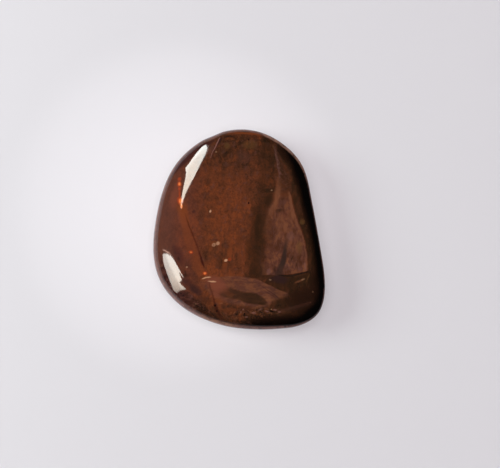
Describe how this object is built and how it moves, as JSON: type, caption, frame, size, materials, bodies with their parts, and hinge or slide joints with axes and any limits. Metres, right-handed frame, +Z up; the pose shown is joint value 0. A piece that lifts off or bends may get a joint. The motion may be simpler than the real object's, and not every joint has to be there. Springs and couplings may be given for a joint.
{
  "type": "mookaite slab",
  "caption": "Flat freeform slab of glossy dark red-brown mookaite jasper, with a rounded edge all round, a gently crowned face and a flat back that it lies on.",
  "frame": {"origin": "on the flat back, under the middle of the slab's bounding box", "axes": "+Z up, from the flat back to the polished face; +Y along the slab's longer way, towards its narrower end; +X across it, towards its straight side"},
  "size_m": [0.041, 0.048, 0.01],
  "materials": {
    "polished_stone": "polished"
  },
  "bodies": {
    "root": {"mookaite_slab": "polished_stone"}
  },
  "joints": []
}
